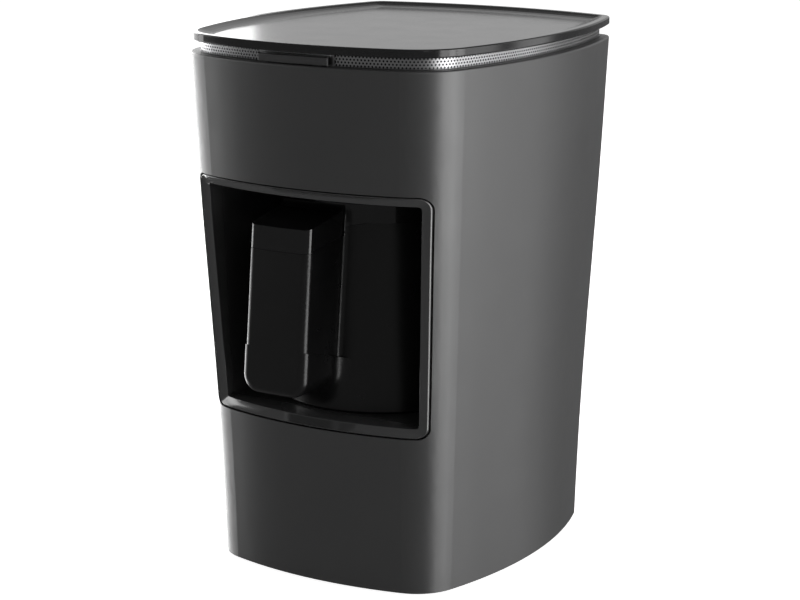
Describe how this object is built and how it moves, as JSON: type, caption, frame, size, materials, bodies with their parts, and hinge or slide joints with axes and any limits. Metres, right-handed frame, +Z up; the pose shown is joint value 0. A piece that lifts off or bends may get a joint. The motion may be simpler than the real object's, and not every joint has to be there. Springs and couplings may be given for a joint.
{
  "type": "electric coffee maker",
  "caption": "Countertop Turkish coffee maker: tapered housing with a lid tray, a front bay over a hot plate, and a handled pot that slides out.",
  "frame": {"origin": "on the surface the feet stand on, at the middle of the outline from the handle's front to the cord inlet's tip", "axes": "+Z up, the bay and its pot face -Y, +X to the right seen from the front"},
  "size_m": [0.1712, 0.2004, 0.266],
  "materials": {
    "housing": "satin graphite",
    "bezel": "smooth black",
    "bay": "matte black",
    "base": "matte black",
    "rubber": "matte",
    "hot_plate": "dark coated disc",
    "silicone": "soft",
    "steel": "plain steel",
    "switchgear": "moulded",
    "pot": "satin black",
    "pot_gloss": "polished black",
    "pot_steel": "brushed",
    "band": "satin dark",
    "key": "satin",
    "light_guide": "milky",
    "lid": "satin",
    "board": "lacquered board",
    "sensor_window": "dark clear",
    "lead": "insulated"
  },
  "bodies": {
    "machine": {"body_shell": "housing", "window_bezel": "bezel", "bay_liner": "bay", "base_plate": "base", "foot_front_left": "rubber", "foot_front_right": "rubber", "foot_rear_left": "rubber", "foot_rear_right": "rubber", "hot_plate": "hot_plate", "hot_plate_seal": "silicone", "heating_element": "steel", "heater_bracket": "steel", "thermal_cutout": "switchgear", "temperature_probe": "steel", "probe_bellows": "silicone", "heat_shield": "steel", "top_frame": "base", "grille_band": "band", "key_base": "band", "key_switch": "switchgear", "light_guide": "light_guide", "status_leds": "light_guide", "lid_tray": "lid", "power_board": "board", "transformer": "switchgear", "relay": "switchgear", "capacitors": "switchgear", "terminal_block": "switchgear", "control_board": "board", "buzzer": "switchgear", "lead_connector": "switchgear", "sensor_window": "sensor_window", "foam_sensor": "switchgear", "cord_gland": "base", "cord_clamp": "base", "heater_leads": "lead", "control_lead": "lead", "base_screws": "steel", "power_board_screws": "steel", "control_board_screws": "steel", "frame_screws": "steel", "bezel_screws": "steel", "heater_screws": "steel", "shield_screws": "steel"},
    "pot": {"pot_shell": "pot", "pot_rim": "pot_gloss", "pot_liner": "pot_steel", "pot_seal": "silicone", "pot_base_disc": "pot_steel", "pot_screws": "steel"},
    "key": {"start_key": "key", "switch_plunger": "switchgear"}
  },
  "joints": [
    {"name": "pot_slide", "type": "slide", "parent": "machine", "child": "pot", "axis": [0, -1, 0], "range_m": [0, 0.15]},
    {"name": "key_press", "type": "slide", "parent": "machine", "child": "key", "axis": [0, 1, 0], "range_m": [0, 0.0012], "stiffness_N_per_m": 1500}
  ]
}
